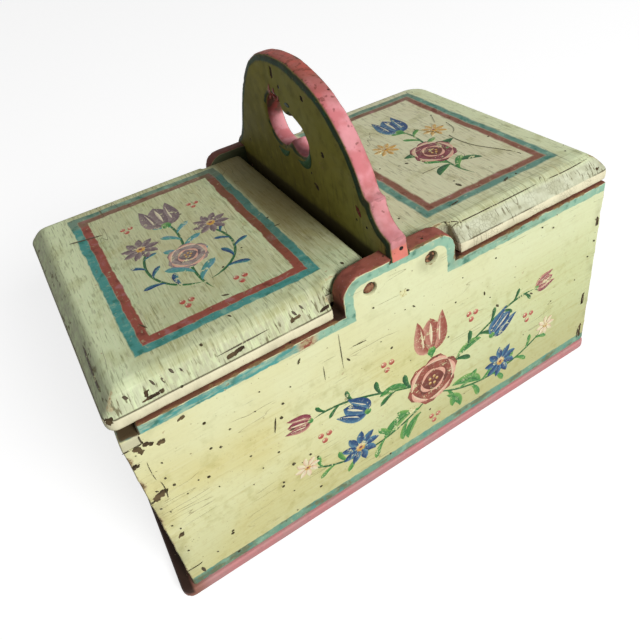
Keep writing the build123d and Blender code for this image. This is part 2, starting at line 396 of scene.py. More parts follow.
def box_finish():
    """Front, back and end boards: ground coat outside, bare wood inside, rust on the tops, and
    painted shade under the lids, next to and inside the humps, and in the broken finger.
    """
    f = Finish("box_paint")
    wobble = wavering(f, 24, 2.2, 4.2, 1.8)
    skin = (HALF_LENGTH - abs(f.x)).least(HALF_WIDTH - abs(f.y))
    across = abs(f.x) - (HUMP_HALF - HUMP_CORNER)
    up = f.z - (HUMP_TOP - HUMP_CORNER)
    corner = (across.most(0) ** 2 + up.most(0) ** 2) ** 0.5
    hump = HUMP_CORNER - corner - across.most(up).least(0)
    inside = hump.most(WALL_TOP - f.z)
    brush = (26, 26, 1)
    cool = f.x.rise(-120, 160) * 0.7 + f.z.rise(80, 0) * 0.35
    coat = ground_coat(f, brush, PALE, STRAW, cool, 0.24)
    coat.put(f.z.rise(85, 118) * 0.45, WHEY)
    coat.put(f.z.rise(70, 15) * (f.x.rise(-90, 90) * 0.3 + 0.15), OCHRE)
    top = (inside + wobble).within(0.9, 0.9 + EDGE_STRIPE, 0.3)
    foot = (f.z - BASE_TOP + wobble).rise(FOOT_STRIPE + 0.4, FOOT_STRIPE - 0.4)
    patchy = f.noise(2, 72, 5, (5, 1, 1)).rise(0.44, 0.62) * 0.7
    left_part = f.x.rise(STRIPE_GAP[1], STRIPE_GAP[1] - 10)
    edge_paint = f.mix(left_part, PALE_TEAL, f.mix(patchy, BLUE_TEAL, MILKY_TEAL))
    gap = f.x.within(*STRIPE_GAP, 2.5) * f.y.rise(-85, -91)
    fingers = f.x.rise(BREAK[0] + 0.4, BREAK[0] - 0.4)
    fingers = fingers * f.y.rise(1 - HALF_WIDTH, 0.1 - HALF_WIDTH)
    top = top * (1 - fingers)
    coat = striped(f, coat, top * (1 - gap), edge_paint, DEEP_TEAL, MILKY_TEAL)
    coat.put(gap * top, f.mix(f.noise(2, 52, 3).rise(0.4, 0.6), UNDERCOAT, RUST))
    muddy = f.noise(7, 73, 4, (2, 1, 1)) + f.x.rise(-80, -130) * 0.12
    foot_paint = f.mix(muddy.rise(0.5, 0.64) * 0.8, SEA_GREEN, MUD)
    coat = striped(f, coat, foot, foot_paint, TEAL, PALE_TEAL)
    block = fingers * f.z.within(125, BREAK[2], 0.3)
    coat.put(block * 0.7, FINGER_END)
    rust = f.mix(f.noise(5, 13, 4).rise(0.45, 0.65) * 0.5, HUMP_RUST, DARK_RUST)
    rust.put(f.noise(2.2, 53, 4).rise(0.6, 0.72) * 0.6, MAUVE)
    # Painted shade: the wall tops darker under the lids' overhang, near-black in the gaps next
    # to the humps, and darker on the back hump behind the handle.
    rust.put(f.z.rise(WALL_TOP + 1.5, WALL_TOP) * 0.7, SHADOWED)
    beside = abs(f.x).within(33, 40, 1.5) * (f.z + wobble * 2).rise(147, 139)
    rust.put(beside * 0.9, BLACK_BROWN)
    rust.put(f.y.rise(70, 80) * f.z.rise(138, 150) * 0.6, BLACK_BROWN)
    paint = f.mix((inside + wobble * 0.3).rise(0.9, 0.4), coat, rust)
    wood = bare_wood(f, brush)
    under = f.mix(f.z.rise(WALL_TOP - 5.5, WALL_TOP - 3), UNDERCOAT, STAIN)
    surface, relief, lost = aged(f, paint, wood, 9, under)
    lines = hairlines(f, 9, 54, 0.006, (9, 9, 1)) * f.noise(30, 55, 2).rise(0.54, 0.62)
    surface.put(lines * 0.5, UMBER)
    sizes = f.noise(7, 76) * 1.9 - 0.25
    specks = worm_holes(f, sizes * 0.55, 4.6, 45)
    holes = worm_holes(f, sizes + 0.2 - f.x.rise(-150, 120) * 0.3, 10.5, 41)
    surface = pierced(f, surface, specks, holes)
    within = skin.rise(2.4, 3.4) * inside.rise(0.3, 0.9)
    x, y, z = BREAK
    broken = f.x.rise(x + 1.2, x + 0.2) * f.y.rise(y + 1, y + 0.2) * f.z.rise(z - 0.8, z - 0.1)
    surface.put(within.most(broken), wood)
    # Painted shade darkens the bare wood in the broken finger's recess.
    surface.put(broken * 0.6, DARK_WOOD)
    # Painted shade on the humps' inner faces above the wall tops.
    surface.put(within * f.z.rise(WALL_TOP + 0.5, WALL_TOP + 2) * 0.85, BOTTLE)
    streaks = f.noise(1.4, 7, 4, brush)
    relief = relief + streaks * 0.07 - holes * 0.9 - specks * 0.15 - lines * 0.2
    return f.close(surface, roughness(f, 0.58, lost), relief)


def lid_finish():
    """Lids: ground coat with a double border on top, chalky bevels and bare undersides, and
    painted shade with hand grime next to the handle on the left lid.
    """
    f = Finish("lid_paint")
    wobble = wavering(f, 20, 3.2, 4.5, 1.3)
    brush = (1, 24, 24)
    right = f.x.rise(-20, 20)
    cool = f.noise(60, 8, 2).rise(0.3, 0.6) * 0.35 + right * 0.2
    coat = ground_coat(f, brush, f.mix(right, LICHEN, FADED), STONE, cool, 0.42)
    coat.put(f.x.rise(-126, -136) * 0.85, MINT)
    grain = f.noise(0.7, 68, 3, (1, 14, 14))
    coat.put(right * (f.y.rise(-86, -56) * 0.55 + 0.1), BEIGE)
    coat.put(f.y.within(-82, -72, 3) * (1 - right) * 0.4, MINT)
    coat.put(f.x.rise(126, 136) * 0.7, MINT)
    coat.put(grain.rise(0.54, 0.7) * (0.5 - right * 0.18), MOSS)
    coat.put(f.noise(13, 77, 5).rise(0.5, 0.7) * 0.3, OLIVE)
    streaks = f.noise(1.3, 75, 4, (18, 1, 1)).rise(0.46, 0.66)
    coat.put(streaks * f.y.rise(-71, -75) * right * 0.25, MOSS)
    coat.put(grain.rise(0.46, 0.32) * 0.55, WHEY)
    # Painted shade of the handle over the left lid next to it, with hand grime, darker towards
    # the back.
    handle_shade_and_grime = f.x.within(-33, 2, 4) * (f.y + wobble * 3).rise(-84, -10)
    coat.put(handle_shade_and_grime * 0.85, OLIVE_BROWN)
    lean = (BORDER_Y[1] - f.y) * (1 - right) * BORDER_LEAN
    out = (abs(f.x) - BORDER_X[1] + lean).most(BORDER_X[0] - abs(f.x))
    out = out.most(f.y - BORDER_Y[1]).most(BORDER_Y[0] - f.y)
    depth = wobble - out
    framed = depth.rise(2 * BORDER_STRIPE, 2 * BORDER_STRIPE + 8)
    coat.put(framed * (1 - right) * 0.35, STONE)
    top = f.z.rise(LID_TOP - 2.6, LID_TOP - 1.8)
    soft = right * 0.5 + 0.4
    outer = depth.within(0, BORDER_STRIPE, soft) * top
    inner = depth.within(BORDER_STRIPE, 2 * BORDER_STRIPE, soft) * top
    tired = (right * 0.45).most(f.y.rise(59, 64) * 0.75)
    coat = striped(f, coat, outer, f.mix(tired, TEAL, TIRED_TEAL), DEEP_TEAL, PALE_TEAL)
    coat = striped(f, coat, inner, f.mix(tired, RUST, TIRED_RUST), DARK_RUST, MAUVE)
    # The border stripes next to the handle get the same painted shade and hand grime, darker
    # towards the back.
    border_shade_and_grime = (outer + inner) * f.x.within(-46, -20, 1) * f.y.rise(-72, -20)
    coat.put(border_shade_and_grime * 0.5, SHADE_AND_GRIME)
    shoulder = f.z.within(LID_TOP - 2.4, LID_TOP - 0.5, 0.2)
    coat.put(shoulder * 0.15, MOSS)
    bevel = f.z.rise(LID_TOP - 1, LID_TOP - 4)
    chalky = f.mix(f.noise(1.6, 9, 5, (1, 3, 3)).rise(0.4, 0.64), SLATE, LICHEN)
    weathered = f.mix(f.noise(6, 69, 5).rise(0.36, 0.66), SLATE, WEATHERED)
    coat.put(bevel * (right * 0.25 + 0.55), f.mix(right, chalky, weathered))
    scrapes = f.noise(1.3, 56, 4, (1, 5, 5)).rise(0.56, 0.64)
    scrapes = scrapes * f.noise(14, 57).rise(0.42, 0.58)
    coat.put(scrapes * (bevel * 0.5 + 0.3), GRIME)
    band = f.z + (f.noise(11, 10, 3) - 0.5) * 0.8
    coat.put(band.rise(BEVEL_START + 0.6, BEVEL_START - 0.2) * 0.85, BEIGE)
    seam = (f.z + wobble * 0.2).within(BEVEL_START, BEVEL_START + 0.6, 0.3)
    seam = seam * (f.noise(30, 14, 2) + f.x.rise(-70, -80) * 0.15).rise(0.4, 0.52)
    coat.put(seam * 0.9, SEAM)
    wood = bare_wood(f, brush)
    surface, relief, lost = aged(f, coat, wood, 8, UNDERCOAT)
    crackle = f.cells(1.9, 42, "DISTANCE_TO_EDGE", (1, 2.2, 1)).rise(0.12, 0)
    crackle = crackle * bevel * f.noise(12, 70, 3).rise(0.42, 0.6) * right
    surface.put(crackle * 0.4, MOSS)
    lines = hairlines(f, 12, 54, 0.005, (1, 6, 6)) * f.noise(34, 55, 2).rise(0.52, 0.6)
    surface.put(lines * 0.7, GRIME)
    holes = worm_holes(f, 0.8, 14, 43)
    surface = pierced(f, surface, worm_holes(f, 0.42, 6, 45), holes)
    surface.put(f.z.rise(LID_UNDER + 0.9, LID_UNDER + 0.3), wood)
    drag = f.noise(1.3, 7, 4, brush)
    relief = relief + drag * 0.11 - holes * 0.9 - crackle * 0.1 - seam * 0.3 - lines * 0.2
    return f.close(surface, roughness(f, 0.56, lost), relief)


def handle_finish():
    """Handle board: olive faces, pink rim, dark rings along the rim and the hand hole, with
    painted shade low and towards the back on the faces, at their foot, along their arrises and
    on the hole's upper wall.
    """
    f = Finish("handle_paint")
    wobble = wavering(f, 18, 2.4, 4, 1.4)
    side = abs(f.x)
    face = side.rise(4.4, 5.2)
    coat = ground_coat(f, (1, 16, 3), STONE, OCHRE, 0, 0.25)
    coat.put(f.noise(30, 71, 3).rise(0.36, 0.62) * 0.15 + 0.75, OLIVE)
    # Painted shade: the faces darker low down and towards the back.
    dim = (f.z - f.y * 0.5 + wobble * 4).rise(206, 166)
    coat.put(dim * 0.8, BRONZE)
    blotch = f.noise(7, 78, 5)
    coat.put(blotch.rise(0.48, 0.7) * 0.4, DARK_OLIVE)
    coat.put(blotch.rise(0.46, 0.28) * 0.3, PALE_OLIVE)
    drips = f.noise(1.6, 79, 4, (1, 1, 12)).rise(0.54, 0.68) * f.z.rise(190, 165)
    coat.put(drips * 0.4, DARK_WOOD)
    # Painted shade in the crevice where the handle meets the lids.
    coat.put((f.z + wobble).rise(155, 151) * 0.85, BLACK_BROWN)
    arris = f.attribute("arris")
    hole = f.away(f.y, f.z, HOLE_MIDDLE).rise(HOLE_REACH + 1, HOLE_REACH - 1)
    low, high = HANDLE_STRIPE
    blobs = f.noise(11, 58, 2).rise(0.36, 0.62)
    edge = arris + wobble + hole * ((1 - blobs) * 2.6 + 1.4)
    stripe = edge.rise(high + 0.9, high - 0.7)
    coat = striped(f, coat, stripe * face, BOTTLE, BLACK_BROWN, FIR)
    # A near-black line along the faces' outer arrises: painted shade on the rounded arris.
    coat.put(edge.rise(low + 1.8, low - 0.2) * face * 0.85, BLACK_BROWN)
    apex = (f.z + wobble * 3).rise(218, 231)
    rim = f.mix(f.noise(10, 15, 4).rise(0.36, 0.62), PINK, ROSE)
    rim.put(f.z.rise(186, 174) * 0.3, DUSTY_PINK)
    rim.put(f.z.rise(162.5, 160.5), SALMON)
    ruddy = f.mix(f.noise(7, 59, 3).rise(0.35, 0.55), BRICK, RUST)
    rim.put(apex * 0.9, ruddy)
    worn = (f.noise(3, 16, 5) + apex * 0.09).rise(0.62, 0.72)
    rim.put(worn * 0.65, DARK_RUST)
    fretted = (arris + (f.noise(3, 80, 4) - 0.5) * 7).rise(1.2, 0.2)
    rim.put(fretted * (apex * 0.6 + 0.25), BLACK_BROWN)
    wall = f.mix(f.noise(6, 60, 4).rise(0.42, 0.6), PINK, ROSE)
    # The hand hole's upper wall is dark red paint, darkened further as painted shade under the
    # hole's top.
    dark_red_with_shade = f.mix(f.noise(4, 74, 3).rise(0.4, 0.6), OXBLOOD, DARK_WOOD)
    wall.put((f.z + wobble * 3).rise(193, 199) * 0.9, dark_red_with_shade)
    rim.put(hole, wall)
    coat.put(side.rise(4.9, 4.3), rim)
    wood = bare_wood(f, (1, 1, 22))
    surface, relief, lost = aged(f, coat, wood, 4, MAUVE)
    holes = worm_holes(f, f.noise(9, 76) * 2.6 - 0.3, 13, 44)
    surface.put(holes, BLACK_BROWN)
    relief = relief - holes * 0.9 + f.noise(1.6, 7, 4) * 0.06
    return f.close(surface, roughness(f, 0.56, lost), relief)


def base_finish():
    """Base board: pink edge, worn brown at its left end and blackened on top there with dirt
    and painted shade, bare inside the box and below.
    """
    f = Finish("base_paint")
    rim = f.mix(f.noise(11, 15, 4).rise(0.4, 0.62) * 0.4, DUSTY_PINK, ROSE)
    rim.put(f.noise(4, 16, 5).rise(0.56, 0.72) * 0.6, MAUVE)
    rim.put(f.x.rise(-138, -152) * 0.85, f.mix(0.5, WOOD, RUST))
    # The top of the left end blackened: dirt and painted shade next to the box.
    rim.put(f.x.rise(-150, -152) * f.z.rise(2, 5.6) * 0.95, END_DIRT_AND_SHADE)
    wood = bare_wood(f, (24, 1, 1))
    surface, relief, lost = aged(f, rim, wood, 7, UNDERCOAT)
    inside = (HALF_LENGTH - WALL - abs(f.x)).least(HALF_WIDTH - WALL - abs(f.y))
    surface.put(f.z.rise(0.9, 0.3).most(inside.rise(0, 0.5)), wood)
    relief = relief + f.noise(1.6, 7, 4) * 0.06
    return f.close(surface, roughness(f, 0.52, lost), relief)


def pin_finish():
    """Dowel ends, painted over with the box and dark round their rims."""
    f = Finish("pin_paint")
    rim = f.away(abs(f.x), f.z, (PIN_X, PIN_Z)) + (f.noise(2, 62, 3) - 0.5) * 1.4
    face = f.mix(f.noise(2.4, 17, 4).rise(0.42, 0.6), DOWEL, DARK_DOWEL)
    face.put(f.noise(2.6, 63, 4).rise(0.5, 0.58), DARK_WOOD)
    surface = f.mix(rim.rise(PIN_RADIUS - 0.8, PIN_RADIUS - 0.2) * 0.8, face, HOLE)
    return f.close(surface, 0.7, f.noise(1.5, 18, 3) * 0.3)


def nail_finish():
    """Cut nails: rusted under the base, painted over where they hold the partition."""
    f = Finish("nail_iron")
    rust = f.mix(f.noise(1.6, 19, 4).rise(0.4, 0.7), IRON, NAIL_RUST)
    painted = f.mix(f.noise(1.2, 20, 3).rise(0.5, 0.64) * 0.6, PALE, OCHRE)
    surface = f.mix(f.z.rise(BASE_TOP + 8, BASE_TOP + 9), rust, painted)
    return f.close(surface, 0.7, f.noise(0.9, 20, 3) * 0.15)


def motif_finish():
    """Strokes of the painted motifs, in the colours they carry, rubbed and cracked with age."""
    f = Finish("motif_paint")
    tint = f.attribute("tint", "Color")
    drag = f.noise(0.9, 64, 4, (2, 2, 2))
    bright = f.node("ShaderNodeRGBToBW", {}, {"Color": tint})
    paint = f.mix(drag.rise(0.52, 0.7) * (bright + 0.04).least(0.22), tint, CHALK)
    paint.put(drag.rise(0.46, 0.3) * 0.22, DARK_WOOD)
    thin = (f.noise(5, 65, 4) * 0.55 + f.noise(1, 66, 3) * 0.45).rise(0.575, 0.62)
    paint.put(thin * 0.8, f.mix(f.z.rise(156, 158), PALE, OLIVE_BROWN))
    holes = worm_holes(f, 0.8, 11.5, 41)
    paint = pierced(f, paint, worm_holes(f, 0.42, 6, 45), holes)
    return f.close(paint, 0.5, drag * 0.05 - thin * 0.05 - holes * 0.5)


# ---- wooden pieces ----
def placed_object(name, data):
    """A new object with this data, in the scene."""
    made = bpy.data.objects.new(name, data)
    bpy.context.scene.collection.objects.link(made)
    return made


def merged(node):
    """A copy of a frame node's mesh with its triangles joined."""
    solid = bmesh.new()
    solid.from_mesh(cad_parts[node].data)
    bmesh.ops.remove_doubles(solid, verts=solid.verts, dist=0.01 * MM)
    return solid


def arris_points(solid):
    """Points close together along every sharp edge."""
    points = []
    for edge in solid.edges:
        if edge.calc_face_angle(0.0) > SHARP:
            start, end = (vert.co for vert in edge.verts)
            steps = max(1, round((end - start).length / (STEP * MM)))
            points += [start.lerp(end, step / steps) for step in range(steps + 1)]
    return points


def point_tree(points):
    """A tree that finds the nearest of these points."""
    tree = KDTree(len(points))
    for index, point in enumerate(points):
        tree.insert(point, index)
    tree.balance()
    return tree


def even_mesh(solid, grid):
    """The solid as an even mesh of small faces."""
    mesh = bpy.data.meshes.new("solid")
    solid.to_mesh(mesh)
    block = placed_object("solid", mesh)
    remesh = block.modifiers.new("even", "REMESH")
    remesh.mode = "VOXEL"
    remesh.voxel_size = grid * MM
    graph = bpy.context.evaluated_depsgraph_get()
    even = bpy.data.meshes.new_from_object(block.evaluated_get(graph))
    shape = bmesh.new()
    shape.from_mesh(even)
    bpy.data.objects.remove(block)
    bpy.data.meshes.remove(mesh)
    bpy.data.meshes.remove(even)
    return shape


def chipped(place, chips):
    """How far a place lies inside the chips, 0 to 1, and how deep they cut there.

    A chip has the two ends of its middle line, its reach to the sides, and its depth.
    """
    inside, depth = 0.0, 0.0
    for *ends, reach, cut in chips:
        start, end = Vector(ends[:3]), Vector(ends[3:])
        on_line, along = intersect_point_line(place, start, end)
        on_line = start if along < 0 else end if along > 1 else on_line
        fall = 1 - (place - on_line).length / reach
        if fall > 0:
            ragged = CHIP_RAGGED * noise.noise(place / CHIP_GRAIN)
            fall = min(CHIP_SLOPE * fall + ragged, 1.0)
            inside = max(inside, fall)
            depth = max(depth, cut * fall)
    return inside, depth


def round_cornered(place):
    """Where a place on the right lid lies once its far corner is worn round in plan."""
    radius = CORNER_WEAR
    up = (place.z - BEVEL_START) / (LID_TOP - BEVEL_START)
    inset = BEVEL_WIDTH * min(max(up, 0.0), 1.0) + radius
    centre = Vector((LID_CORNER[0] - inset, LID_CORNER[1] - inset))
    out = Vector(place.xy) - centre
    if min(out) <= 0 or out.length < radius / 2:
        return place
    edge = radius * out.length / max(out)
    reach = radius / 2 * (1 + (out.length - radius / 2) / (edge - radius / 2))
    return Vector((*(centre + out * (reach / out.length)), place.z))


def out_of_square(place):
    """Where a place on the left lid lies with its end cut a little askew."""
    share = min(max((place.x - SKEW_FROM) / (-LID_CORNER[0] - SKEW_FROM), 0.0), 1.0)
    return place - Vector((share * SKEW * place.y / LID_CORNER[1], 0, 0))


def pulled_in(place):
    """Where a place on the handle lies with the hand hole's front edge pulled in."""
    for centre, pull, reach in HOLE_PULLS:
        away = (Vector(place.yz) - Vector(centre)).length / reach
        place = place + Vector((0, *pull)) * exp(-(away**2))
    return place


def finished(name, shape, body, material):
    """The piece made of a shape: smooth but for its sharp edges, riding on its body."""
    for face in shape.faces:
        face.smooth = True
    mesh = bpy.data.meshes.new(name)
    shape.to_mesh(mesh)
    mesh.set_sharp_from_angle(angle=SHARP)
    piece = placed_object(name, mesh)
    mesh.materials.append(material)
    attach(piece, body)
    return piece


def worn_board(
    node, body, material, chips=(), grid=FINE_GRID, rounded=1.7, passes=2, reshaped=None
):
    """Stands for a board: its arrises rounded and dented, its faces slightly uneven."""
    grid = grid
    solid = merged(node)
    planes = BVHTree.FromBMesh(solid)
    others = [trees[name] for name in trees if name != node]
    bare, jointed = [], []
    for point in arris_points(solid):
        touches = any(tree.find_nearest(point, TOUCHING * MM)[0] for tree in others)
        (jointed if touches else bare).append(point)
    bare_tree, joint_tree = point_tree(bare), point_tree(jointed)
    shape = even_mesh(solid, grid)
    layers = shape.verts.layers.float
    arris, joint, chip = (layers.new(name) for name in ("arris", "joint", "chip"))
    for vert in shape.verts:
        vert[arris] = min(bare_tree.find(vert.co)[2] / MM, FAR) if bare else FAR
        vert[joint] = min(joint_tree.find(vert.co)[2] / MM, FAR) if jointed else FAR
        if vert[joint] < SNAP * grid:
            vert.co = joint_tree.find(vert.co)[0]
        elif vert[joint] < CLEAR or vert[arris] > rounded:
            vert.co = planes.find_nearest(vert.co)[0]
    soft = [v for v in shape.verts if v[arris] < rounded and v[joint] > HELD]
    for _ in range(passes):
        bmesh.ops.smooth_vert(
            shape, verts=soft, factor=0.5, use_axis_x=True, use_axis_y=True, use_axis_z=True
        )
    for vert in shape.verts if reshaped else ():
        vert.co = reshaped(vert.co / MM) * MM
    shape.normal_update()
    moves = []
    for vert in shape.verts:
        place = vert.co / MM
        clear = min(vert[joint] / CLEAR, 1.0)
        sink = SINK + SINK * noise.noise(place / SINK_SIZE)
        dent = max(noise.noise(place / DENT_SIZE) - DENT_SHARE, 0.0)
        dent = dent * max(1 - vert[arris] / CLEAR, 0.0)
        vert[chip], cut = chipped(place, chips)
        moves.append(vert.normal * ((sink + dent) * clear + cut) * MM)
    for vert, move in zip(shape.verts, moves):
        vert.co -= move
    piece = finished(node + "_worn", shape, body, material)
    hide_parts(node)
    return BVHTree.FromBMesh(shape)


def dressed(node, material):
    """A frame node that keeps its shape and gets its finish."""
    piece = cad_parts[node]
    piece.data.materials.clear()
    piece.data.materials.append(material)


# ---- painted motifs and marks ----
GREEN = rgb(62, 132, 66)
SPRING = rgb(132, 176, 92)
FOREST = rgb(34, 84, 48)
INDIGO = rgb(30, 66, 110)
SKY = rgb(96, 146, 170)
PLUM = rgb(132, 62, 74)
BLUSH = rgb(226, 172, 150)
CREAM = rgb(236, 226, 190)
GOLD = rgb(206, 158, 74)
ASH = rgb(166, 148, 142)
DUSK = rgb(112, 94, 96)
SCRATCH = rgb(70, 60, 38)


def dot_shape(share):
    """How broad a stroke is at each share of its way: here like a disc."""
    return max(1 - (2 * share - 1) ** 2, 0.0) ** 0.5


def leaf_shape(share):
    return max(sin(pi * share), 0.0) ** 0.8


def comma_shape(share):
    if share < 0.25:
        return max(1 - (1 - share / 0.25) ** 2, 0.0) ** 0.5
    return max(1 - (share - 0.25) / 0.75, 0.0) ** 0.8


def line_shape(share):
    return min(1.0, 9 * share, 9 * (1 - share))


def bent(points, share):
    """The place this far along the smooth line that the points draw out."""
    while len(points) > 1:
        points = [start.lerp(end, share) for start, end in zip(points, points[1:])]
    return points[0]


class Panel:
    """A side of a worn board that strokes of the brush are laid on."""

    def __init__(self, wood, place, outward):
        self.wood = wood
        self.place = place
        self.outward = Vector(outward)
        self.paint = bmesh.new()
        self.tint = self.paint.verts.layers.float_color.new("tint")
        self.strokes = 0

    def stroke(self, path, width, colours, layer=0, shape=leaf_shape, segments=(12, 4)):
        """A stroke whose second colour is loaded on the left side of the brush."""
        self.strokes += 1
        path = [Vector(point) for point in path]
        first, second = (Vector(colour) for colour in colours)
        lift = LIFT + LIFT * layer + NEXT_STROKE * self.strokes
        made = bmesh.ops.create_grid(
            self.paint, x_segments=segments[0], y_segments=segments[1], size=0.5
        )
        faces = dict.fromkeys(face for vert in made["verts"] for face in vert.link_faces)
        for vert in made["verts"]:
            share, aside = vert.co.x + 0.5, 2 * vert.co.y
            ahead = bent(path, min(share + AHEAD, 1.0)) - bent(path, max(share - AHEAD, 0.0))
            left = Vector((-ahead.y, ahead.x)).normalized()
            middle = bent(path, share) + left * aside * width / 2 * shape(share)
            flat = self.place(middle) * MM
            touch = self.wood.ray_cast(flat + self.outward * BRUSH_START * MM, -self.outward)[0]
            crown = lift + CROWN * (1 - aside**2)
            vert.co = (touch or flat) + self.outward * crown * MM
            loaded = min(max(0.6 * aside + 0.25 * (1 - share), 0.0), 1.0)
            vert[self.tint] = first.lerp(second, loaded)
        bmesh.ops.remove_doubles(self.paint, verts=made["verts"], dist=0.01 * MM)
        sheet = [face for face in faces if face.is_valid]
        bmesh.ops.solidify(self.paint, geom=sheet, thickness=PAINT_THICKNESS * MM)

    def dot(self, at, size, colours, layer):
        at = Vector(at)
        half = Vector((size / 2, 0))
        self.stroke((at - half, at + half), size, colours, layer, dot_shape, (8, 6))

    def mark(self, points, width):
        """A scratch from one point to another, or a crack that bends between several."""
        shape, steps = (leaf_shape, 6) if len(points) == 2 else (line_shape, 24)
        self.stroke(points, width, (SCRATCH, SCRATCH), 6, shape, (steps, 2))

    def done(self, name, body, slot):
        return finished(name, self.paint, body, motif_paint)


def about(at, angle, size, points):
    """Points drawn along an axis, set at a place, turned and enlarged."""
    turn = Matrix.Rotation(radians(angle), 2)
    return [Vector(at) + turn @ Vector(point) * size for point in points]


def leaf(panel, at, angle, length, colours):
    """A leaf that arches on its side of the stem, with a dark vein."""
    bend = 0.2 if angle < 90 else -0.2
    path = about(at, angle, length, ((0, 0), (0.35, bend), (0.75, bend), (1, 0)))
    panel.stroke(path, length * 0.30, colours)
    low = bend * 0.9
    vein = about(at, angle, length, ((0.05, 0), (0.35, low), (0.7, low), (0.9, 0.02)))
    panel.stroke(vein, length * 0.045, (FOREST, FOREST), 1, leaf_shape, (8, 2))


def comma(panel, at, angle, length, bend, colours):
    """One curved dab, broad where the brush was set down."""
    path = about(at, angle, length, ((0, 0), (0.4, bend), (0.8, bend), (1, 0)))
    panel.stroke(path, length * 0.26, colours, 1, comma_shape)


def tulip(panel, at, angle, size, dark, light):
    """An open tulip: a middle petal, two side petals that curl out, and pale tips."""
    def petal(points, width, *look):
        panel.stroke(about(at, angle, size, points), size * width, *look)

    petal(((0, 0), (0.5, 0), (1.05, 0)), 0.62, (dark, light), 1)
    for side in (-1, 1):
        out = ((0, 0), (0.10, 0.46 * side), (0.62, 0.26 * side), (1.12, 0.36 * side))
        petal(out, 0.34, (dark, light), 2)
        glint = ((0.22, 0.24 * side), (0.56, 0.24 * side), (0.92, 0.29 * side))
        petal(glint, 0.06, (CREAM, light), 3, comma_shape)
    petal(((0.2, 0), (0.6, 0), (0.92, 0)), 0.09, (CREAM, light), 3)
    panel.dot(at, size * 0.26, (GREEN, SPRING), 3)


def rose(panel, at, size, dark, middle, light):
    """A round rose: a ring of broad petals, curled strokes inside, and a dotted heart."""
    for step in range(6):
        petal = about(at, 60 * step + 10, size, ((0.1, 0), (0.5, 0.1), (1.0, 0)))
        panel.stroke(petal, size * 0.92, (middle, dark), 1, dot_shape, (8, 6))
    panel.dot(at, size * 1.25, (dark, middle), 2)
    outer = ((0.70, -0.42), (0.98, 0.0), (0.62, 0.52))
    inner = ((0.34, -0.30), (0.58, 0.0), (0.26, 0.34))
    for step in range(5):
        panel.stroke(about(at, 72 * step, size, outer), size * 0.17, (light, CREAM), 3)
    for step in range(4):
        panel.stroke(about(at, 90 * step + 30, size, inner), size * 0.13, (light, BLUSH), 4)
    for step in range(5):
        panel.dot(about(at, 72 * step, size, ((0.15, 0),))[0], size * 0.11, (GOLD, CREAM), 5)


def daisy(panel, at, size, dark, light, petals=9, turn=0):
    """A daisy: narrow petals that lie over and under each other, and a gold heart."""
    for step in range(petals):
        petal = about(at, 360 / petals * step + turn, size, ((0.18, 0), (0.6, 0.08), (1, 0)))
        panel.stroke(petal, size * 0.38, (dark, light), 1 + step % 2, leaf_shape, (8, 4))
    panel.dot(at, size * 0.5, (GOLD, CREAM), 3)
    panel.dot(at, size * 0.2, (PLUM, PLUM), 4)


def spray(panel, path, leaves, size, colours):
    """A stem with commas of paint on both sides, smaller towards its tip."""
    path = [Vector(point) for point in path]
    panel.stroke(path, 1.5, (FOREST, GREEN), 0, line_shape, (16, 2))
    for step in range(leaves):
        share = (step + 1) / (leaves + 1)
        at = bent(path, share)
        ahead = bent(path, min(share + 0.05, 1.0)) - at
        heading = IN_DEGREES * Vector((1, 0)).angle_signed(ahead, 0) * -1
        side = 1 if step % 2 else -1
        reach = size * (1 - 0.45 * share)
        tip = about(at, heading + 48 * side, reach, ((1, 0),))[0]
        comma(panel, tip, heading + 48 * side + 180, reach, 0.16 * side, colours)


def berries(panel, at, spread, colours):
    """Three berries, each with a glint."""
    for angle in (20, 140, 260):
        place = about(at, angle, spread, ((1, 0),))[0]
        panel.dot(place, spread * 1.25, colours, 2)
        panel.dot(place + Vector((-0.25, 0.3)) * spread, spread * 0.35, (CREAM, CREAM), 3)


def marks(panel, rows):
    """Marks from rows of a width and the places, across and up, that each passes."""
    for width, *flat in rows:
        panel.mark(list(zip(flat[::2], flat[1::2])), width)


# ---- chips and marks ----
BOX_CHIPS = tuple(
    (x, -HALF_WIDTH, z, x_end, -HALF_WIDTH, z_end, reach, cut)
    for x, z, x_end, z_end, reach, cut in (
        (-146, 87, -142.5, 89, 2.6, 0.6), (-144.6, 123.8, -143.2, 120, 1.6, 0.5),
        (-140.4, 123.6, -138, 121.6, 1.5, 0.5), (-149, 113, -147.5, 113.2, 1.5, 0.4),
        (-134.6, 119.8, -133.8, 120, 2, 0.4), (-122.6, 127.2, -121.8, 127.4, 1.6, 0.3),
        (-144.2, 52, -143.6, 52.6, 1.9, 0.4), (144, 43.5, 144.2, 50.5, 1.5, 0.4),
        (145.6, 11, 145.4, 22, 1.3, 0.4), (147, 111, 147.6, 106, 1.2, 0.3),
        (-1, 155.6, -6, 155.2, 1.4, 0.3),
    )
)
LID_CHIPS = (
    (-142.9, -60, 148.4, -142.1, -78, 148.8, 1.8, 0.5),
    (-145.1, -66, 146, -145.3, -74, 145.4, 1.2, 0.3),
    (-37, -83, 151, -35.5, -89.5, 144, 3, 0.5), (-41, -88.6, 144.6, -45, -88.8, 144.4, 1, 0.3),
    (-131, -87, 146.6, -131.6, -88.4, 145, 1, 0.3),
    (-125, -88.8, 144.6, -134, -88.9, 144.2, 0.8, 0.3),
    (-86, -88.2, 145.4, -93, -88.8, 144.6, 1.1, 0.4),
    (-60, -87.6, 146, -56, -87.4, 146.4, 1, 0.3),
    (-148.4, -88.6, 142.5, -149.9, -87, 141, 2.2, 0.5), (36, -84, 150, 38, -88.8, 145, 2, 0.4),
    (144, -88, 144.5, 149, -86, 144.5, 1.6, 0.4),
)
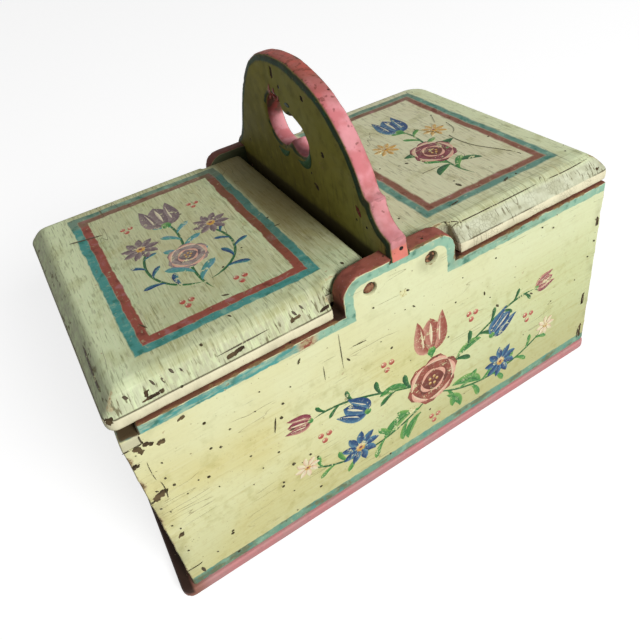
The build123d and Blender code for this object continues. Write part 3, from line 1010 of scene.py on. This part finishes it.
HANDLE_CHIPS = (
    (-3.6, -14, 235.2, -4.4, -17.6, 234.4, 1.7, 0.5),
    (-0.4, -16.6, 234.8, 1.6, -19.4, 234, 1.3, 0.4), (3.8, -4, 235.4, 4.6, -8, 235.4, 1.2, 0.3),
    (-4.2, -29, 231.6, -4.6, -33, 229.8, 1.2, 0.3), (4.4, -44, 222, 4.6, -47, 219.6, 1, 0.3),
    (-5, 10.3, 227.6, -5, 10.9, 223.6, 1.9, 0.6), (-5, -21.7, 219.8, -5, -22.3, 219, 1.9, 0.6),
    (-5, -36, 192.6, -5, -36.3, 191.6, 1.6, 0.5), (-5, -21.6, 168.6, -5, -24.6, 167, 1.8, 0.6),
    (-5, 66.4, 166.4, -5, 66.6, 165.4, 1.4, 0.4),
)
FRONT_MARKS = (
    (0.75, -81.4, 96.6, -84, 85.9), (2, -79.6, 94.2, -77.6, 94),
    (1.2, -104.8, 105.4, -103.4, 105.4), (1.5, -111.8, 97.4, -110.2, 97.4),
    (1.5, -76.8, 103.2, -75.2, 102.8), (2.2, -79.9, 55.8, -77.9, 55.2),
    (1.5, -69.3, 55.4, -67.7, 54.8), (1.3, -87.3, 46.6, -86.5, 45), (1, -76.4, 81.8, -73, 81.6),
    (1.2, -62, 126, -63.8, 122.6), (0.35, -51, 112.6, -51.4, 103), (0.35, -40, 128, -40.2, 104),
    (1, -37.4, 109.6, -35.8, 106.6), (0.6, -33, 115.2, -25, 114.6),
    (0.7, -150.4, 125.2, -145, 124.9, -141.2, 125.3),
    (0.7, -141.3, 130.6, -141.6, 127, -140.8, 124.2),
    (0.3, -143, 113, -143.6, 106, -142.8, 99.5), (0.4, -141.6, 97, -140.6, 92, -141.8, 84),
    (0.5, -150.4, 22.6, -146, 22, -141.4, 22.4), (0.9, -150, 86, -147, 86.8),
    (0.8, -145.6, 92.6, -144.2, 91.6), (0.9, -147.4, 79.6, -146.2, 78.8),
    (0.8, -144, 74, -143.2, 73.2), (0.8, -146.6, 64, -145.4, 63.2),
    (1, -143.4, 58.6, -142.8, 57.6), (1, -145.2, 38.6, -144, 37.8),
    (0.9, -138, 108.4, -137.2, 107.4), (0.8, -133.6, 79.4, -132.8, 79),
    (0.8, -126.6, 84.4, -125.8, 83.8), (0.9, -118.8, 71.6, -118.2, 71.2),
    (0.9, -95.4, 66.2, -94.6, 65.8), (0.8, -102.6, 58.4, -102, 57.8),
    (0.9, -90.6, 108.2, -90, 107.6), (0.8, -86, 119, -85.2, 118.4),
    (0.9, -70.6, 111.4, -69.8, 111), (1.4, -131.8, 23.4, -132.2, 22.8),
    (1.2, 1.6, 133.2, 3.8, 132.6), (0.9, 5.2, 121, 6.6, 119.2), (1.1, 92.4, 81, 94.6, 79),
    (0.8, 55, 103, 55.4, 99.6), (1.6, 64.8, 87.4, 66.4, 84.8), (1.1, 98, 127.6, 98.6, 126.4),
    (1.1, 107.2, 123.2, 107.8, 122), (1.1, -18.9, 133.4, -18.1, 132.6),
    (1.3, -148.6, 113.4, -146.4, 112.8), (1.8, -142.6, 18.6, -141.8, 13.4),
    (1.1, 145.4, 112, 145.8, 110), (1, 146.4, 108, 146.2, 106), (1.1, 146.4, 95.4, 146.2, 93.6),
    (1, 142, 84.6, 142.4, 83.2), (0.9, 143.2, 50, 143.6, 43.4), (0.9, 143, 21, 143.2, 11),
    (1.5, -137.4, 90.8, -136.4, 89.4), (1.2, -139.6, 97.8, -138.6, 97),
)
LEFT_LID_MARKS = (
    (1, -136, 47.6, -127, 45.4, -117.4, 43.2), (1.2, -81.6, -57, -78, -58.4),
    (0.9, -84.8, -72, -83.8, -74.2), (1.4, -102.8, -81.4, -101.4, -82.2),
    (0.7, -121.6, -50, -118.8, -55.6), (1.2, -33.6, -9.4, -32, -9.2),
    (0.8, -34, -20, -30.4, -20.2), (1.3, -22.9, -73, -22.6, -75.4),
    (0.8, -148, -41.6, -148.4, -58, -148, -75.5), (1, -128, -84.6, -126.4, -86.8),
    (0.9, -123.4, -85, -122.6, -87.4), (1.2, -119, -84.2, -117.4, -86),
    (0.8, -114.6, -85.4, -113.8, -87), (1.1, -58.6, -85.2, -56.8, -87),
    (0.9, -54, -84.6, -52.8, -86.2), (1.2, -140.6, -85.6, -138.4, -86.6),
    (0.5, -98, -87.4, -72, -87),
)
RIGHT_LID_MARKS = (
    (0.4, 105.7, -3.7, 102, -30.4, 114.3, -34.6, 118.6, -54.3),
    (0.3, 117, 12.6, 116, 0, 110, -2.9), (0.35, 61.4, -32, 74, -32.2),
    (0.3, 95, 20, 99, 12, 104, 4), (0.3, 118, 30, 112, 18), (1.8, 67.6, -54.4, 68.4, -58.6),
    (1, 50, -70.4, 57, -69.2), (1.2, 88.4, -71.4, 93.2, -69.2), (1.3, 61.4, -14.4, 63.2, -15.8),
    (0.45, 35.6, -83.2, 48, -83.9, 63, -83.3, 82, -83.9, 100, -83.4),
    (0.4, 109, -83.6, 124, -84.2, 141, -83.4), (0.6, 36, -79, 46, -84),
)
HANDLE_RUNS = (
    (3, (OXBLOOD, DARK_WOOD), ((-64.6, 175), (-66.6, 172), (-68.4, 169.4))),
    (3, (BRICK, BRICK), ((18.8, 208), (17.6, 212), (16, 217.8))),
    (2.8, (OXBLOOD, BRICK), ((13.4, 208.8), (12.6, 213), (10.4, 217))),
    (2.2, (BRICK, OXBLOOD), ((9, 208.6), (8, 211), (6, 213))),
    (2.4, (BOTTLE, BOTTLE), ((-0.4, 210.6), (-3.4, 210.9), (-6.2, 210.2))),
    (4, (FOREST, BOTTLE), ((18.6, 178.6), (11.4, 173.6), (4.6, 179.8))),
    (5.2, (FOREST, BOTTLE), ((-5.4, 178.4), (-16.6, 174.6), (-21.8, 183), (-20.6, 190))),
)


# ---- paintings ----
def paint_front(board):
    """A garland on the front board, with its cracks and holes."""
    panel = Panel(board, lambda spot: Vector((spot.x, -HALF_WIDTH, spot.y)), (0, -1, 0))
    spray(panel, ((14, 44), (-12, 26), (-46, 22), (-70, 44)), 9, 19, (GREEN, SPRING))
    spray(panel, ((18, 44), (44, 24), (82, 22), (108, 42)), 9, 19, (GREEN, SPRING))
    spray(panel, ((12, 56), (-18, 66), (-40, 84), (-62, 80)), 7, 15, (FOREST, GREEN))
    spray(panel, ((22, 56), (48, 68), (72, 86), (96, 82)), 7, 15, (FOREST, GREEN))
    for at, angle, length in (
        ((2, 40), 205, 26), ((30, 40), -25, 26), ((6, 34), 238, 20), ((26, 34), -58, 20),
        ((16, 74), 118, 24), ((16, 74), 62, 24), ((-2, 62), 165, 20), ((34, 62), 15, 20),
    ):
        leaf(panel, at, angle, length, (GREEN, SPRING))
    tulip(panel, (16, 80), 90, 24, RUST, BLUSH)
    tulip(panel, (-30, 62), 140, 18, INDIGO, SKY)
    tulip(panel, (62, 64), 40, 18, INDIGO, SKY)
    tulip(panel, (-64, 80), 165, 13, PLUM, BLUSH)
    tulip(panel, (98, 82), 15, 13, PLUM, BLUSH)
    rose(panel, (16, 56), 19, DARK_RUST, RUST, BLUSH)
    daisy(panel, (-38, 36), 13, INDIGO, SKY)
    daisy(panel, (70, 36), 13, INDIGO, SKY, turn=14)
    daisy(panel, (-72, 46), 8, CREAM, BLUSH, 8)
    daisy(panel, (109, 44), 8, CREAM, BLUSH, 8)
    for at in ((-14, 88), (46, 90), (-58, 62), (92, 62), (16, 22)):
        berries(panel, at, 3, (BRICK, BLUSH))
    marks(panel, FRONT_MARKS)
    panel.done("front_garland", "box", "body_paint")


def lid_panel(lid):
    """The top of a lid."""
    return Panel(lid, lambda spot: Vector((spot.x, spot.y, LID_TOP)), (0, 0, 1))


def paint_left_lid(lid):
    """A posy in plum and teal on the left lid, with its cracks and holes."""
    panel = lid_panel(lid)
    spray(panel, ((-82, -48), (-92, -20), (-74, 4), (-83, 30)), 8, 20, (TEAL, SKY))
    spray(panel, ((-84, -40), (-106, -34), (-112, -8), (-100, 8)), 5, 14, (INDIGO, TEAL))
    spray(panel, ((-80, -40), (-58, -36), (-52, -12), (-64, 6)), 5, 14, (INDIGO, TEAL))
    tulip(panel, (-83, 26), 92, 24, DUSK, ASH)
    daisy(panel, (-103, 12), 11, DUSK, ASH)
    daisy(panel, (-61, 10), 11, DUSK, ASH, turn=20)
    rose(panel, (-83, -12), 12, DUSK, ASH, BLUSH)
    for at in ((-104, 38), (-62, 38), (-97, -50), (-68, -50)):
        berries(panel, at, 2.6, (BRICK, BLUSH))
    marks(panel, LEFT_LID_MARKS)
    panel.done("left_lid_posy", "left_lid", "lid_paint")


def paint_right_lid(lid):
    """A posy in rust and indigo on the right lid, with its cracks and holes."""
    panel = lid_panel(lid)
    spray(panel, ((84, -52), (74, -24), (96, 4), (86, 26)), 8, 18, (GREEN, SPRING))
    for at, angle, length in (
        ((84, -20), 150, 22), ((86, -20), 30, 22), ((82, -34), 205, 16), ((86, -34), -25, 16),
    ):
        leaf(panel, at, angle, length, (FOREST, GREEN))
    tulip(panel, (86, 24), 86, 22, INDIGO, SKY)
    rose(panel, (84, -14), 15, DARK_RUST, PLUM, BLUSH)
    daisy(panel, (104, 10), 9, GOLD, CREAM, 8)
    daisy(panel, (64, 10), 9, GOLD, CREAM, 8)
    marks(panel, RIGHT_LID_MARKS)
    panel.done("right_lid_posy", "right_lid", "lid_paint")


def paint_handle(board):
    """Runs and blots of paint round the hand hole."""
    panel = Panel(board, lambda spot: Vector((-HANDLE_FACE, spot.x, spot.y)), (-1, 0, 0))
    for width, colours, points in HANDLE_RUNS:
        panel.stroke(points, width, colours, 1)
    panel.done("handle_runs", "box", "handle_paint")


# ---- floor, light and camera ----
def lay_floor():
    """A pale floor that looks white, keeps the shadow and throws little light back."""
    f = Finish("floor")
    seen = f.seen()
    f.shade({"Base Color": f.mix(seen, FLOOR_SHADE, FLOOR_SEEN), "Roughness": 0.9})
    f.shade({"Emission Color": f.mix(seen, BLACK, FLOOR_GLOW), "Emission Strength": 1.0})
    shape = bmesh.new()
    bmesh.ops.create_grid(shape, x_segments=1, y_segments=1, size=FLOOR_SIZE)
    bmesh.ops.translate(shape, vec=(0, 0, -FLOOR_DROP * MM), verts=shape.verts)
    mesh = bpy.data.meshes.new("floor")
    shape.to_mesh(mesh)
    mesh.materials.append(f.material)
    plane = placed_object("floor", mesh)


def hang_lamp():
    """A round lamp in front of the box and above it."""
    lamp = bpy.data.lights.new("window", "AREA")
    lamp.shape = "DISK"
    lamp.size = LAMP_SIZE
    lamp.energy = LAMP_POWER
    holder = placed_object("window", lamp)
    holder.location = LAMP_PLACE
    aim = Vector(LAMP_AIM) - Vector(LAMP_PLACE)
    holder.rotation_euler = aim.to_track_quat("-Z", "Y").to_euler()


def light_room():
    """Even light from all sides, dim on the box and white where it is seen."""
    world = bpy.data.worlds.new("room")
    bpy.context.scene.world = world
    graph = Graph(world)
    inputs = {"Value": graph.seen(), "To Min": ROOM_LIGHT, "To Max": 1.0}
    background = graph.tree.nodes["Background"].inputs
    graph.feed(background["Strength"], graph.node("ShaderNodeMapRange", {}, inputs))
    background["Color"].default_value = (1, 1, 1, 1)


def set_camera():
    """The camera, turned to the azimuth, tipped down and rolled."""
    camera = bpy.data.cameras.new("camera")
    camera.sensor_width = CAMERA_SENSOR
    camera.lens = CAMERA_LENS
    camera.shift_y = CAMERA_SHIFT
    turn = (
        Matrix.Rotation(CAMERA_AZIMUTH, 4, "Z")
        @ Matrix.Rotation(pi / 2 - CAMERA_ELEVATION, 4, "X")
        @ Matrix.Rotation(CAMERA_ROLL, 4, "Z")
    )
    holder = placed_object("camera", camera)
    holder.matrix_world = Matrix.Translation(Vector(CAMERA_PLACE) * MM) @ turn
    bpy.context.scene.camera = holder
    bpy.context.scene.view_settings.view_transform = "Standard"


# ---- scene ----
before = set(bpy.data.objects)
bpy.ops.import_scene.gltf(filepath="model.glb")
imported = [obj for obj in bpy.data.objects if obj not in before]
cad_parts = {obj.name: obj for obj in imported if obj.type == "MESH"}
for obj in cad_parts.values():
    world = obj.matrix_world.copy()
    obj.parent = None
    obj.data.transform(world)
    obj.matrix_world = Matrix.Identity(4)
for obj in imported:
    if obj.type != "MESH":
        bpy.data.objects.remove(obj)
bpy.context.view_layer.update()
trees = {node: BVHTree.FromBMesh(merged(node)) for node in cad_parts}

box_paint = box_finish()
lid_paint = lid_finish()
front = worn_board("front_board", "box", box_paint, BOX_CHIPS)
worn_board("back_board", "box", box_paint, (), COARSE_GRID)
for side in ("left", "right"):
    worn_board(f"{side}_end_board", "box", box_paint, BOX_CHIPS)
left_lid, right_lid = (
    worn_board(name, name, lid_paint, LID_CHIPS, reshaped=reshaped)
    for name, reshaped in (("left_lid", out_of_square), ("right_lid", round_cornered))
)
handle_paint = handle_finish()
handle = worn_board(
    "handle_board", "box", handle_paint, HANDLE_CHIPS,
    rounded=3.0, passes=7, reshaped=pulled_in,
)
worn_board("base_board", "box", base_finish(), (), COARSE_GRID)
pin_paint = pin_finish()
for side in ("left", "right"):
    for end in ("front", "back"):
        dressed(f"{side}_{end}_hinge_pin", pin_paint)
motif_paint = motif_finish()
paint_front(front)
paint_left_lid(left_lid)
paint_right_lid(right_lid)
paint_handle(handle)
nail_iron = nail_finish()
for node in ("base_nails", "partition_nails"):
    dressed(node, nail_iron)

lay_floor()
hang_lamp()
light_room()
set_camera()
